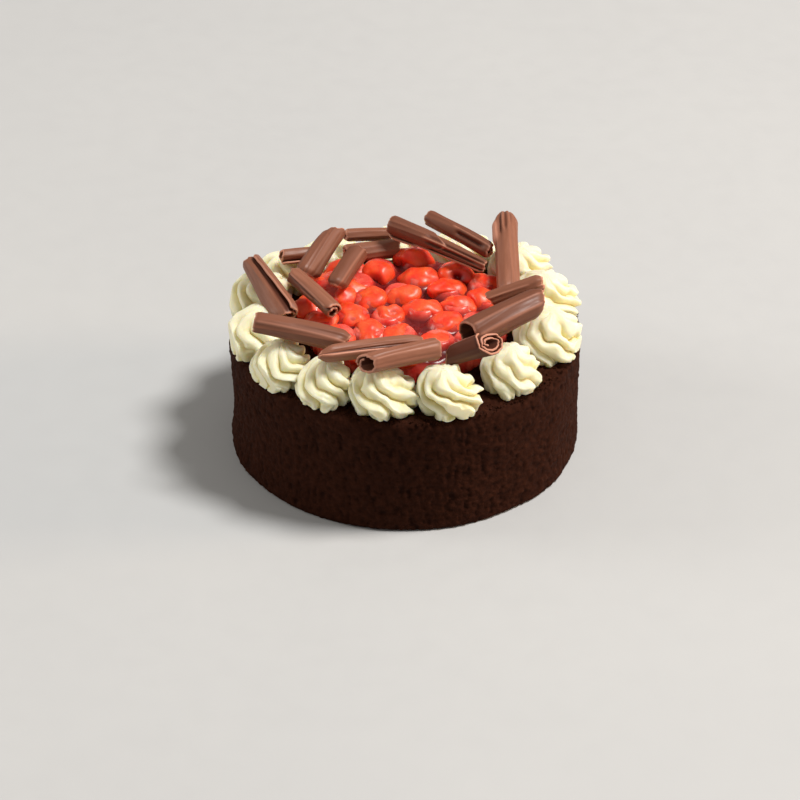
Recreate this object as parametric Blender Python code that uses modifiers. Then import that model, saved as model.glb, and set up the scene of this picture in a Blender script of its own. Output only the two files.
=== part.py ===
"""Black forest cake: a round chocolate cake that carries a ring of piped cream rosettes, a bed of
cherries in glaze and a nest of chocolate rolls.

Lengths are in millimetres until they are multiplied by MM, angles are in degrees, +Z is up, and the
origin is the centre of the flat base. Azimuth 0 is +X and azimuth -90 is the front, -Y.
"""

import math

import bmesh
import bpy
from mathutils import Matrix, Vector

MM = 0.001
GAP = 0.35  # left between pieces that touch

# Driving dimensions
CAKE_RADIUS = 100.0
CAKE_HEIGHT = 71.0
CAKE_SHOULDER = 4.0  # rounding of the top edge
CAKE_FOOT = 2.5  # rounding of the bottom edge
CAKE_WAIST = 1.4  # how far the side draws in halfway up
CAKE_SIDE_ROWS = 4
CAKE_STEPS = 64

ROSETTE_RADIUS = 17.4
ROSETTE_HEIGHT = 24.0
ROSETTE_LIP = 0.12  # share of the height where the swirl is widest
ROSETTE_ROWS = (0.0, ROSETTE_LIP, 0.34, 0.58, 0.8, 0.94)
ROSETTE_LOBES = 8
ROSETTE_GROOVE = 0.19  # depth of the grooves, as a share of the radius
ROSETTE_TWIST = -150.0  # how far the lobes turn from the foot to the peak

CHERRY_RADIUS = 8.2
CHERRY_HALF_HEIGHT = 7.3
CHERRY_DIMPLE = 2.2
CHERRY_ROWS = 5
CHERRY_STEPS = 10
CHERRY_TILT = 34.0

GLAZE_RADIUS = 62.0
GLAZE_LEVEL = 8.0
GLAZE_CROWN = 0.6  # how much higher the glaze stands in the middle than at its rim
GLAZE_EDGE = 2.2  # rounding of the rim
GLAZE_FLOOR = 3.3  # glaze left under each cherry
GLAZE_STEPS = 36

SHEET = 1.4  # thickness of the rolled chocolate
SHEET_PITCH = 2.1  # from one turn of a roll to the next
SHEET_POINTS = 14

# Each rosette: azimuth, distance of its centre from the axis, and width relative to the driving one.
ROSETTES = (
    (-98.4, 80.5, 1.00),
    (-73.7, 84.0, 1.00),
    (-45.6, 81.7, 0.96),
    (-16.6, 82.7, 1.03),
    (12.6, 82.3, 1.03),
    (37.8, 82.3, 1.00),
    (65.1, 80.0, 0.97),
    (93.8, 80.0, 0.97),
    (122.0, 79.8, 0.95),
    (145.2, 81.6, 0.88),
    (168.0, 83.8, 0.93),
    (-165.8, 83.4, 0.96),
    (-142.4, 86.5, 0.85),
    (-122.5, 83.9, 0.83),
)

# Each cherry: where its centre lies.
CHERRIES = (
    (7, 48), (8, 30), (-15, 40), (28, 37), (24, 18), (-3, 13), (-39, 11),
    (-20, 8), (-27, 24), (9, -4), (29, 0), (-30, -9), (22, -18), (-10, -12),
    (18, -36), (-53, 1), (-48, -16), (-45, 27), (-20, -27), (46, 6), (-3, -30),
    (40, -17), (36, -34), (-37, -30), (-34, 40), (45, 24), (0, -48), (-20, -45),
)  # fmt: skip

# Each roll: its two ends, the diameter at each, its turns, and where round it the sheet's outer edge lies.
ROLLS = (
    ((-82, -46.5, 102.5), (-33, -55, 95), 13, 14, 1.3, 300),
    ((-67.5, -23.5, 93.5), (-87.5, 22, 100.5), 14.5, 11, 1.2, 103),
    ((-40, -23.5, 95.5), (-63, 5.5, 101), 11, 11.5, 1.6, 20),
    ((-40.5, 49.5, 103), (-56.5, 16.5, 94.5), 12, 14, 1.4, 270),
    ((-69.5, 35.5, 95), (-50, 43.5, 92.5), 8.5, 8.5, 1.3, 200),
    ((-27, 37, 97), (-40, 1.5, 96), 12, 12, 1.3, 290),
    ((-34.5, 60, 94), (-8.5, 66.5, 91), 9, 9, 1.2, 280),
    ((-27, 50.5, 88), (-3, 55.5, 88), 11, 11.5, 1.4, 300),
    ((-8, 56, 103), (44.5, 22.5, 96), 13, 8, 1.0, 116),
    ((13, 72, 99), (46.5, 44.5, 94), 11, 11, 1.4, 280),
    ((58, 64.5, 104), (57, 3.5, 93), 10.5, 13.5, 1.2, 300),
    ((47, -10, 93.5), (76, -8.5, 103.5), 9.5, 10, 1.3, 250),
    ((35, -50.5, 96), (73, -27, 103.5), 20, 19, 1.1, 290),
    ((23.5, -62.5, 95), (48.5, -67, 104), 9.5, 15.5, 1.4, 300),
    ((-46, -75, 101), (8, -52.5, 97), 10.5, 10.5, 1.2, 170),
    ((-22, -87.5, 102), (16.5, -68.5, 99.5), 11.5, 13, 1.6, 320),
)


def start_afresh():
    for old in list(bpy.data.objects):
        bpy.data.objects.remove(old, do_unlink=True)
    for name in ("black_forest_cake", "cutters"):
        collection = bpy.data.collections.new(name)
        bpy.context.scene.collection.children.link(collection)


def material(name, colour, roughness):
    finish = bpy.data.materials.new(name)
    finish.use_nodes = True
    shader = finish.node_tree.nodes["Principled BSDF"]
    shader.inputs["Base Color"].default_value = (*colour, 1.0)
    shader.inputs["Roughness"].default_value = roughness
    shader.inputs["Metallic"].default_value = 0.0
    return finish


def add_object(name, mesh, collection="black_forest_cake"):
    thing = bpy.data.objects.new(name, mesh)
    bpy.data.collections[collection].objects.link(thing)
    return thing


def mesh_from(bm, name, finish=None):
    mesh = bpy.data.meshes.new(name)
    bm.to_mesh(mesh)
    bm.free()
    if finish is not None:
        mesh.materials.append(finish)
    return mesh


def add_line(bm, points):
    """An open line through the points, which are Vectors in millimetres."""
    line = [bm.verts.new(point * MM) for point in points]
    return [bm.edges.new(pair) for pair in zip(line, line[1:])]


def profile_mesh(name, points, finish=None):
    """A line of (radius, height) points in the XZ plane, for a Screw modifier."""
    bm = bmesh.new()
    add_line(bm, [Vector((radius, 0.0, height)) for radius, height in points])
    return mesh_from(bm, name, finish)


def turn(thing, steps, smooth=True):
    """Turns the object's profile a full circle about Z."""
    screw = thing.modifiers.new("turn", "SCREW")
    screw.steps = screw.render_steps = steps
    screw.use_merge_vertices = True
    screw.merge_threshold = 0.00001
    screw.use_smooth_shade = smooth


def arc(centre_radius, centre_height, rounding, first, last, points):
    """Points on an arc, from angle first to angle last above the horizontal."""
    for i in range(points):
        angle = math.radians(first + (last - first) * i / (points - 1))
        yield centre_radius + rounding * math.cos(angle), centre_height + rounding * math.sin(angle)


def polar(radius, azimuth, height):
    angle = math.radians(azimuth)
    return Vector((radius * math.cos(angle), radius * math.sin(angle), height))


def build_cake(finish):
    """The dark sponge: a turned body with a rounded top edge and a slight waist."""
    side_top = CAKE_HEIGHT - CAKE_SHOULDER
    points = [(0.0, CAKE_HEIGHT)]
    points += arc(CAKE_RADIUS - CAKE_SHOULDER, side_top, CAKE_SHOULDER, 90, 0, 4)
    for row in range(1, CAKE_SIDE_ROWS):
        share = row / CAKE_SIDE_ROWS
        height = side_top + (CAKE_FOOT - side_top) * share
        points.append((CAKE_RADIUS - CAKE_WAIST * math.sin(math.pi * share), height))
    points += arc(CAKE_RADIUS - CAKE_FOOT, CAKE_FOOT, CAKE_FOOT, 0, -90, 3)
    points.append((0.0, 0.0))
    turn(add_object("chocolate_cake", profile_mesh("chocolate_cake", points, finish)), CAKE_STEPS)


def rosette_outline(lift):
    """Radius of the swirl at a share of its height, as a share of its widest radius."""
    above_lip = max(0.0, lift - ROSETTE_LIP) / (1.0 - ROSETTE_LIP)
    foot = 0.9 + 0.1 * min(1.0, lift / ROSETTE_LIP)
    return foot * math.cos(0.5 * math.pi * above_lip) ** 0.8


def build_rosette_mesh(finish):
    """One piped swirl of cream: a turned dome whose lobes twist as they rise to a soft peak."""
    bm = bmesh.new()
    corners = 2 * ROSETTE_LOBES
    rows = [(0.0, 1.0)]
    rows += [(rosette_outline(lift), lift) for lift in reversed(ROSETTE_ROWS)]
    rows += [(0.0, 0.0)]
    add_line(bm, [Vector((ROSETTE_RADIUS * out, 0.0, ROSETTE_HEIGHT * lift)) for out, lift in rows])
    bmesh.ops.spin(bm, geom=bm.verts[:] + bm.edges[:], axis=(0, 0, 1), cent=(0, 0, 0),
                   angle=2 * math.pi, steps=corners, use_merge=True)  # fmt: skip
    bmesh.ops.remove_doubles(bm, verts=bm.verts, dist=0.01 * MM)
    bmesh.ops.recalc_face_normals(bm, faces=bm.faces)
    for vert in bm.verts:
        lift = vert.co.z / (ROSETTE_HEIGHT * MM)
        angle = math.atan2(vert.co.y, vert.co.x)
        corner = round(angle / (2 * math.pi) * corners)
        groove = ROSETTE_GROOVE * (1.0 - 0.45 * lift) * (corner % 2)
        radius = math.hypot(vert.co.x, vert.co.y) * (1.0 - groove)
        vert.co = polar(radius, math.degrees(angle) + ROSETTE_TWIST * lift, vert.co.z)
    return mesh_from(bm, "cream_rosette", finish)


def build_rosettes(finish):
    mesh = build_rosette_mesh(finish)
    for number, (azimuth, distance, width) in enumerate(ROSETTES, 1):
        rosette = add_object(f"cream_rosette_{number:02d}", mesh)
        rosette.location = polar(distance, azimuth, CAKE_HEIGHT + GAP) * MM
        rosette.rotation_euler.z = math.radians(azimuth)
        rosette.scale = (width, width, 0.5 + 0.5 * width)


def cherry_profile(radius, half_height):
    """A flattened round fruit with a dimple where its stalk was."""
    for row in range(CHERRY_ROWS + 1):
        angle = math.pi * row / CHERRY_ROWS
        out = 0.0 if row in (0, CHERRY_ROWS) else radius * math.sin(angle)
        dimple = CHERRY_DIMPLE * math.exp(-((out / (0.45 * radius)) ** 2)) if 2 * row < CHERRY_ROWS else 0.0
        yield out, half_height * math.cos(angle) - dimple


def cherry_turn(number):
    """How a cherry lies: its dimple faces a new way on each one."""
    golden_angle = 137.5
    heading = math.radians(golden_angle * number)
    tilt = math.radians(CHERRY_TILT * (0.4 + 0.6 * math.sin(number) ** 2))
    return Matrix.Rotation(heading, 4, "Z") @ Matrix.Rotation(tilt, 4, "Y")


def build_cherries(finish):
    """Cherries in one layer in the glaze. Returns a slightly larger cutter for the socket of each."""
    mesh = profile_mesh("cherry", cherry_profile(CHERRY_RADIUS, CHERRY_HALF_HEIGHT), finish)
    socket_outline = cherry_profile(CHERRY_RADIUS + GAP, CHERRY_HALF_HEIGHT + GAP)
    socket = profile_mesh("cherry_socket", socket_outline)
    height = CAKE_HEIGHT + GAP + GLAZE_FLOOR + GAP + CHERRY_HALF_HEIGHT
    cutters = []
    for number, (x, y) in enumerate(CHERRIES, 1):
        place = Matrix.Translation(Vector((x, y, height)) * MM) @ cherry_turn(number)
        cherry = add_object(f"cherry_{number:02d}", mesh)
        cutter = add_object(f"socket_{number:02d}", socket, "cutters")
        for piece in (cherry, cutter):
            turn(piece, CHERRY_STEPS)
            piece.matrix_world = place
        cutter.hide_render = True
        cutter.display_type = "WIRE"
        cutters.append(cutter)
    return cutters


def build_glaze(finish, cutters):
    """The red glaze: a low round mound with a socket for each cherry."""
    bottom = CAKE_HEIGHT + GAP
    rim_top = bottom + GLAZE_LEVEL - GLAZE_CROWN
    points = [(0.0, bottom + GLAZE_LEVEL)]
    points += arc(GLAZE_RADIUS - GLAZE_EDGE, rim_top - GLAZE_EDGE, GLAZE_EDGE, 90, 0, 3)
    points += [(GLAZE_RADIUS, bottom), (0.0, bottom)]
    glaze = add_object("cherry_glaze", profile_mesh("cherry_glaze", points, finish))
    turn(glaze, GLAZE_STEPS, smooth=False)
    for cutter in cutters:
        cut = glaze.modifiers.new(cutter.name, "BOOLEAN")
        cut.operation = "DIFFERENCE"
        cut.object = cutter


def roll_mesh(name, length, diameter_a, diameter_b, turns, finish):
    """A sheet of chocolate rolled up along X: an open spiral that Solidify gives its thickness."""
    bm = bmesh.new()
    spiral = []
    for i in range(SHEET_POINTS):
        share = i / (SHEET_POINTS - 1)
        radius = 0.5 * (diameter_a - SHEET) - SHEET_PITCH * turns * share
        angle = 2 * math.pi * turns * share
        spiral.append(Vector((-0.5 * length, radius * math.cos(angle), radius * math.sin(angle))))
    far = bmesh.ops.extrude_edge_only(bm, edges=add_line(bm, spiral))["geom"]
    for vert in (item for item in far if isinstance(item, bmesh.types.BMVert)):
        outward = Vector((0.0, vert.co.y, vert.co.z)).normalized()
        vert.co += (outward * 0.5 * (diameter_b - diameter_a) + Vector((length, 0.0, 0.0))) * MM
    return mesh_from(bm, name, finish)


def build_rolls(finish):
    """The chocolate rolls, which lean on the rosettes and the cherries and cross over each other."""
    for number, (end_a, end_b, diameter_a, diameter_b, turns, edge_at) in enumerate(ROLLS, 1):
        name = f"chocolate_roll_{number:02d}"
        axis = Vector(end_b) - Vector(end_a)
        roll = add_object(name, roll_mesh(name, axis.length, diameter_a, diameter_b, turns, finish))
        solidify = roll.modifiers.new("sheet", "SOLIDIFY")
        solidify.thickness = SHEET * MM
        solidify.offset = 0.0
        solidify.use_even_offset = True
        middle = (Vector(end_a) + Vector(end_b)) * 0.5 * MM
        along = axis.to_track_quat("X", "Z").to_matrix().to_4x4()
        facing = Matrix.Rotation(math.radians(edge_at), 4, "X")
        roll.matrix_world = Matrix.Translation(middle) @ along @ facing


def main():
    start_afresh()
    build_cake(material("dark_sponge", (0.030, 0.011, 0.007), 0.85))
    build_rosettes(material("whipped_cream", (0.84, 0.80, 0.62), 0.45))
    cutters = build_cherries(material("cherry_red", (0.62, 0.02, 0.008), 0.15))
    build_glaze(material("glaze_red", (0.45, 0.008, 0.01), 0.08), cutters)
    build_rolls(material("chocolate", (0.20, 0.085, 0.055), 0.5))


main()
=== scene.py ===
import math
import random

import bmesh
import bpy
from mathutils import Matrix, Vector, noise


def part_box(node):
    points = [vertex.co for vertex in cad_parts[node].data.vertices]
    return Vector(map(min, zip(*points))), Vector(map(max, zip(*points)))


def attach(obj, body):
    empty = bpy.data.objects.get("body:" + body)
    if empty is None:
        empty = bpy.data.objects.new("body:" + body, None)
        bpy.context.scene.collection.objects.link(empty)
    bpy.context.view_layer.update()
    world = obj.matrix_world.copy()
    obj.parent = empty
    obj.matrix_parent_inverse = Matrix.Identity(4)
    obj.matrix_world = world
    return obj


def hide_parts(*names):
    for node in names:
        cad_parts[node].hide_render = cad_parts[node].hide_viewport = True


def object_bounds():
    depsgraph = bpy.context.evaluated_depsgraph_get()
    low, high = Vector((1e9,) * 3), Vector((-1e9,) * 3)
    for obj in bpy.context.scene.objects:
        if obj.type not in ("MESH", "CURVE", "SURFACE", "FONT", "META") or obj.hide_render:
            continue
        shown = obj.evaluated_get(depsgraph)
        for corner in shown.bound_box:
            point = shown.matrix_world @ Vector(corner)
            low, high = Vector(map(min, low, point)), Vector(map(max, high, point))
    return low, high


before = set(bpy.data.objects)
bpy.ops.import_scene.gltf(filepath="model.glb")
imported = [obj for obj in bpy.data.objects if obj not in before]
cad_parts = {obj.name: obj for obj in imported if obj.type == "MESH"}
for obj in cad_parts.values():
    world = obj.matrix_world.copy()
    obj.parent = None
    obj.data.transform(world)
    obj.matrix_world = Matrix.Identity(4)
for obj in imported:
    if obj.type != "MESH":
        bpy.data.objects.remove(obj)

# Black forest cake: dark chocolate sponge, a ring of piped cream, cherries in glaze, chocolate rolls.
# Lengths in the dictionaries are in mm and angles in degrees, unless a note says otherwise.

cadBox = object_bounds()
mm = 0.001


def clamp(value, low=0.0, high=1.0):
    return max(low, min(high, value))


def smoothStep(low, high, value):
    share = clamp((value - low) / (high - low))
    return share * share * (3.0 - 2.0 * share)


def lerp(a, b, share):
    return a + (b - a) * share


def bell(value, width):
    return math.exp(-((value / width) ** 2))


# Noise from -1 to 1 at a point in mm; size is how wide its bumps are, in mm
def wave(x, y, z, size, seed=0.0):
    return noise.noise(Vector((x / size + 7.31 * seed, y / size - 3.17 * seed, z / size + 1.93 * seed)))


def boxOf(node):
    low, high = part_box(node)
    return low / mm, high / mm


def setShader(shader, **values):
    for label, value in values.items():
        shader.inputs[label.replace("_", " ")].default_value = value


# A shader node group with its sockets; inputs are (name, kind, value), outputs (name, kind)
def makeGroup(name, inputs, outputs):
    group = bpy.data.node_groups.new(name, "ShaderNodeTree")
    for label, kind, value in inputs:
        socket = group.interface.new_socket(name=label, in_out="INPUT", socket_type="NodeSocket" + kind)
        socket.default_value = value
    for label, kind in outputs:
        group.interface.new_socket(name=label, in_out="OUTPUT", socket_type="NodeSocket" + kind)
    return group, group.nodes.new("NodeGroupInput"), group.nodes.new("NodeGroupOutput")


def addNoise(tree, vector, scale, detail=3.0, roughness=0.55):
    texture = tree.nodes.new("ShaderNodeTexNoise")
    tree.links.new(vector, texture.inputs["Vector"])
    texture.inputs["Detail"].default_value = detail
    texture.inputs["Roughness"].default_value = roughness
    if isinstance(scale, (int, float)):
        texture.inputs["Scale"].default_value = scale
    else:
        tree.links.new(scale, texture.inputs["Scale"])
    return texture.outputs["Fac"]


# Maps low..high to toLow..toHigh, clamped; each end may be a number or a socket
def addRange(tree, value, low, high, toLow=0.0, toHigh=1.0):
    node = tree.nodes.new("ShaderNodeMapRange")
    tree.links.new(value, node.inputs["Value"])
    for label, end in (("From Min", low), ("From Max", high), ("To Min", toLow), ("To Max", toHigh)):
        if isinstance(end, (int, float)):
            node.inputs[label].default_value = end
        else:
            tree.links.new(end, node.inputs[label])
    return node.outputs["Result"]


def addMath(tree, operation, a, b):
    node = tree.nodes.new("ShaderNodeMath")
    node.operation = operation
    for index, value in enumerate((a, b)):
        if isinstance(value, (int, float)):
            node.inputs[index].default_value = value
        else:
            tree.links.new(value, node.inputs[index])
    return node.outputs[0]


# Mixes two colours; each may be a colour or a socket
def addMix(tree, share, a, b):
    node = tree.nodes.new("ShaderNodeMix")
    node.data_type = "RGBA"
    tree.links.new(share, node.inputs["Factor"])
    for index, value in ((6, a), (7, b)):
        if isinstance(value, tuple):
            node.inputs[index].default_value = (*value, 1.0)
        else:
            tree.links.new(value, node.inputs[index])
    return node.outputs[2]


# Two colours mixed in soft patches
def makeMottle():
    group, enter, leave = makeGroup(
        "mottle",
        [("Vector", "Vector", (0, 0, 0)), ("Scale", "Float", 100.0), ("Spread", "Float", 0.15),
         ("Dark", "Color", (0, 0, 0, 1)), ("Light", "Color", (1, 1, 1, 1))],
        [("Colour", "Color"), ("Mask", "Float")])
    value = addNoise(group, enter.outputs["Vector"], enter.outputs["Scale"], 4.0)
    low = addMath(group, "SUBTRACT", 0.5, enter.outputs["Spread"])
    high = addMath(group, "ADD", 0.5, enter.outputs["Spread"])
    mask = addRange(group, value, low, high)
    group.links.new(mask, leave.inputs["Mask"])
    mixed = addMix(group, mask, enter.outputs["Dark"], enter.outputs["Light"])
    group.links.new(mixed, leave.inputs["Colour"])
    return group


# Fine surface relief and the roughness that goes with it
def makeGrain():
    group, enter, leave = makeGroup(
        "grain",
        [("Vector", "Vector", (0, 0, 0)), ("Coarse", "Float", 400.0), ("Fine", "Float", 1600.0),
         ("Fine share", "Float", 0.3), ("Smooth", "Float", 0.3), ("Rough", "Float", 0.6)],
        [("Height", "Float"), ("Roughness", "Float")])
    coarse = addNoise(group, enter.outputs["Vector"], enter.outputs["Coarse"], 3.0)
    fine = addNoise(group, enter.outputs["Vector"], enter.outputs["Fine"], 2.0)
    fine = addMath(group, "MULTIPLY", fine, enter.outputs["Fine share"])
    height = addMath(group, "ADD", coarse, fine)
    group.links.new(height, leave.inputs["Height"])
    roughness = addRange(group, coarse, 0.35, 0.65, enter.outputs["Smooth"], enter.outputs["Rough"])
    group.links.new(roughness, leave.inputs["Roughness"])
    return group


# Tints by the mesh's own depth values: painted shade in what lies deep; the chocolate also uses it for
# paler edges with a painted highlight
def makeShadeAndHighlightMix():
    group, enter, leave = makeGroup(
        "shadeAndHighlightMix",
        [("Colour", "Color", (1, 1, 1, 1)), ("Deep colour", "Color", (0, 0, 0, 1)),
         ("Depth", "Float", 0.0), ("From", "Float", 0.1), ("To", "Float", 0.9)],
        [("Colour", "Color")])
    share = addRange(group, enter.outputs["Depth"], enter.outputs["From"], enter.outputs["To"])
    group.links.new(addMix(group, share, enter.outputs["Colour"], enter.outputs["Deep colour"]),
                    leave.inputs["Colour"])
    return group


mottle = makeMottle()
grain = makeGrain()
shadeAndHighlightMix = makeShadeAndHighlightMix()


# One material: a Principled shader and short ways to place the shared groups
class Finish:
    def __init__(self, name, **values):
        self.material = bpy.data.materials.new(name)
        self.material.use_nodes = True
        self.tree = self.material.node_tree
        self.shader = self.tree.nodes["Principled BSDF"]
        setShader(self.shader, **values)
        self.place = self.tree.nodes.new("ShaderNodeTexCoord").outputs["Object"]

    def attribute(self, name):
        node = self.tree.nodes.new("ShaderNodeAttribute")
        node.attribute_name = name
        return node

    def stretched(self, vector, scale):
        node = self.tree.nodes.new("ShaderNodeMapping")
        node.inputs["Scale"].default_value = scale
        self.tree.links.new(vector, node.inputs["Vector"])
        return node.outputs["Vector"]

    def group(self, tree, **inputs):
        node = self.tree.nodes.new("ShaderNodeGroup")
        node.node_tree = tree
        for label, value in inputs.items():
            socket = node.inputs[label.replace("_", " ")]
            if isinstance(value, bpy.types.NodeSocket):
                self.tree.links.new(value, socket)
            elif isinstance(value, tuple) and len(value) == 3 and socket.type == "RGBA":
                socket.default_value = (*value, 1.0)
            else:
                socket.default_value = value
        return node.outputs

    def feed(self, value, label):
        self.tree.links.new(value, self.shader.inputs[label])

    def bump(self, height, strength, distance):
        node = self.tree.nodes.new("ShaderNodeBump")
        node.inputs["Strength"].default_value = strength
        node.inputs["Distance"].default_value = distance * mm
        self.tree.links.new(height, node.inputs["Height"])
        self.feed(node.outputs["Normal"], "Normal")


# The finishes that differ only in their values. shader holds constants, patches two colours in soft
# patches, deep the colour of painted shade in what lies deep, grain the relief, bump its strength and
# its height in mm.
foodFinishes = {
    "sponge": {
        "name": "darkSponge",
        "shader": {"Specular_IOR_Level": 0.03},
        "patches": {"Scale": 260.0, "Spread": 0.25,
                    "Dark": (0.027, 0.0080, 0.0042), "Light": (0.044, 0.0132, 0.0066)},
        "deep": {"Deep_colour": (0.013, 0.0040, 0.0023)},
        "grain": {"Coarse": 620.0, "Fine": 1900.0, "Fine_share": 0.5, "Smooth": 0.6, "Rough": 0.9},
        "bump": (0.7, 0.7),
    },
    "cream": {
        "name": "whippedCream",
        "shader": {"Subsurface_Weight": 0.7, "Subsurface_Scale": 0.008,
                   "Subsurface_Radius": (1.0, 0.8, 0.45), "Specular_IOR_Level": 0.28},
        "patches": {"Scale": 90.0, "Spread": 0.2,
                    "Dark": (0.79, 0.752, 0.520), "Light": (0.840, 0.812, 0.608)},
        "deep": {"Deep_colour": (0.78, 0.70, 0.31), "From": 0.15, "To": 1.0},
        "grain": {"Coarse": 500.0, "Fine": 1800.0, "Fine_share": 0.3, "Smooth": 0.32, "Rough": 0.55},
        "bump": (0.25, 0.35),
    },
    "cherry": {
        "name": "glazedCherry",
        "shader": {"Subsurface_Weight": 0.45, "Subsurface_Scale": 0.006,
                   "Subsurface_Radius": (1.0, 0.2, 0.1), "Specular_IOR_Level": 0.4,
                   "Coat_Weight": 0.40, "Coat_Roughness": 0.36},
        "patches": {"Scale": 130.0, "Spread": 0.18,
                    "Dark": (0.84, 0.032, 0.008), "Light": (0.95, 0.115, 0.024)},
        "deep": {"Deep_colour": (0.30, 0.006, 0.005)},
        "grain": {"Coarse": 230.0, "Fine": 900.0, "Fine_share": 0.3, "Smooth": 0.34, "Rough": 0.55},
        "bump": (0.3, 0.6),
    },
    "glaze": {
        "name": "redGlaze",
        "shader": {"Subsurface_Weight": 0.5, "Subsurface_Scale": 0.006,
                   "Subsurface_Radius": (1.0, 0.15, 0.1), "Specular_IOR_Level": 0.2,
                   "Coat_Weight": 0.22, "Coat_Roughness": 0.26},
        # the lighter pink patches are a painted sheen on the red glaze
        "patches": {"Scale": 110.0, "Spread": 0.2,
                    "Dark": (0.60, 0.014, 0.010), "Light": (0.90, 0.170, 0.120)},
        "deep": {"Deep_colour": (0.16, 0.012, 0.012)},
        "grain": {"Coarse": 190.0, "Fine": 700.0, "Fine_share": 0.2, "Smooth": 0.16, "Rough": 0.34},
        "bump": (0.3, 0.5),
    },
}


def makeFood(own):
    finish = Finish(own["name"], **own["shader"])
    patches = finish.group(mottle, Vector=finish.place, **own["patches"])
    # painted shade in what lies deep: pits, grooves, dimples and the gaps in the glaze, where the glaze
    # is also thicker
    depth = finish.attribute("shadeAndDepth").outputs["Fac"]
    tint = finish.group(shadeAndHighlightMix, Colour=patches["Colour"], Depth=depth, **own["deep"])
    finish.feed(tint["Colour"], "Base Color")
    relief = finish.group(grain, Vector=finish.place, **own["grain"])
    finish.feed(relief["Roughness"], "Roughness")
    finish.bump(relief["Height"], *own["bump"])
    return finish.material


# Milk chocolate with streaks that run along the roll, painted shade in the curl and its grooves, and
# paler broken edges and ridges with a painted highlight
def makeChocolate():
    finish = Finish("rolledChocolate", Specular_IOR_Level=0.34)
    sheet = finish.attribute("sheetPlace").outputs["Vector"]
    streaks = finish.group(mottle, Vector=finish.stretched(sheet, (0.16, 1.0, 1.0)),
                           Scale=0.5, Spread=0.25,
                           Dark=(0.222, 0.081, 0.043), Light=(0.272, 0.107, 0.063))
    # painted shade inside the curl, in grooves and over whole rolls that lie in shade
    depth = finish.attribute("shadeAndDepth").outputs["Fac"]
    tint = finish.group(shadeAndHighlightMix, Colour=streaks["Colour"], Depth=depth,
                        Deep_colour=(0.085, 0.020, 0.008))
    # paler broken edges, partly a painted highlight, and a painted highlight on ridges
    rim = finish.attribute("rim").outputs["Fac"]
    paleEdgeAndHighlight = finish.group(shadeAndHighlightMix, Colour=tint["Colour"], Depth=rim,
                           Deep_colour=(0.52, 0.230, 0.150))
    finish.feed(paleEdgeAndHighlight["Colour"], "Base Color")
    relief = finish.group(grain, Vector=finish.stretched(sheet, (0.12, 1.0, 1.0)), Coarse=0.9, Fine=4.0,
                          Fine_share=0.4, Smooth=0.42, Rough=0.58)
    finish.feed(relief["Roughness"], "Roughness")
    finish.bump(relief["Height"], 0.14, 0.3)
    return finish.material


def makeFloor():
    finish = Finish("paleFloor")
    patches = finish.group(mottle, Vector=finish.place, Scale=3.0, Spread=0.3,
                           Dark=(0.46, 0.47, 0.48), Light=(0.49, 0.50, 0.505))
    finish.feed(patches["Colour"], "Base Color")
    relief = finish.group(grain, Vector=finish.place, Coarse=60.0, Fine=400.0, Fine_share=0.3,
                          Smooth=0.6, Rough=0.75)
    finish.feed(relief["Roughness"], "Roughness")
    finish.bump(relief["Height"], 0.1, 0.5)
    return finish.material


finishes = {slot: makeFood(own) for slot, own in foodFinishes.items()}
finishes["chocolate"] = makeChocolate()
print("materials done")


# Turns a bmesh in mm into a finished piece that rides on the cake
def finishPiece(bm, name, slot, node=None):
    bmesh.ops.scale(bm, vec=Vector((mm, mm, mm)), verts=bm.verts)
    mesh = bpy.data.meshes.new(name)
    bm.to_mesh(mesh)
    bm.free()
    mesh.materials.append(finishes[slot])
    mesh.shade_smooth()
    piece = bpy.data.objects.new(name, mesh)
    bpy.context.scene.collection.objects.link(piece)
    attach(piece, "root")
    if node:
        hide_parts(node)
    return piece


# A bmesh turned round Z from a profile of (radius, height) points in mm
def spinProfile(points, steps):
    bm = bmesh.new()
    line = [bm.verts.new((radius, 0.0, height)) for radius, height in points]
    edges = [bm.edges.new(pair) for pair in zip(line, line[1:])]
    bmesh.ops.spin(bm, geom=line + edges, axis=(0, 0, 1), cent=(0, 0, 0), angle=2 * math.pi,
                   steps=steps, use_merge=True)
    bmesh.ops.remove_doubles(bm, verts=bm.verts, dist=0.001)
    bmesh.ops.recalc_face_normals(bm, faces=bm.faces)
    return bm


# The sponge
sponge = {
    "steps": 560,
    "sideRows": 92,
    "topRows": 38,
    "shoulder": 5.0,
    "foot": 2.2,
    "inset": 1.25,      # the mean surface lies this far inside the outer size
    "margin": 0.05,     # and no part of it nearer to the outer size than this
    "wobble": 0.9,      # slow unevenness of the side
    "wobbleSize": 24.0,
    "lumps": 0.55,      # crumb lumps
    "lumpSizes": (2.3, 1.4),
    "pits": 0.9,
    "pitSizes": (2.6, 1.5),
    "grain": 0.28,
    "grainSize": 0.95,
    "rimLumps": 0.7,    # round the top edge
    "rimLumpSize": 5.5,
    "drawnIn": 0.55,    # at half the height
    "bulge": 0.9,       # of the foot on the left
    "waist": 0.8,       # above it
    "topRise": 0.35,    # the highest lump on top
}


def spongeProfile(radius, height, s):
    corner, foot = s["shoulder"], s["foot"]
    points = [(0.0, height), (0.3 * radius, height), (0.52 * radius, height)]
    start = 0.6 * radius
    for row in range(s["topRows"]):
        points.append((lerp(start, radius - corner, row / s["topRows"]), height))
    for row in range(9):
        angle = math.radians(90.0 - 90.0 * row / 9)
        points.append((radius - corner + corner * math.cos(angle),
                       height - corner + corner * math.sin(angle)))
    for row in range(s["sideRows"]):
        points.append((radius, lerp(height - corner, foot, row / s["sideRows"])))
    for row in range(4):
        angle = math.radians(-90.0 * row / 3)
        points.append((radius - foot + foot * math.cos(angle), foot + foot * math.sin(angle)))
    points += [(0.6 * radius, 0.0), (0.0, 0.0)]
    return points


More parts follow.
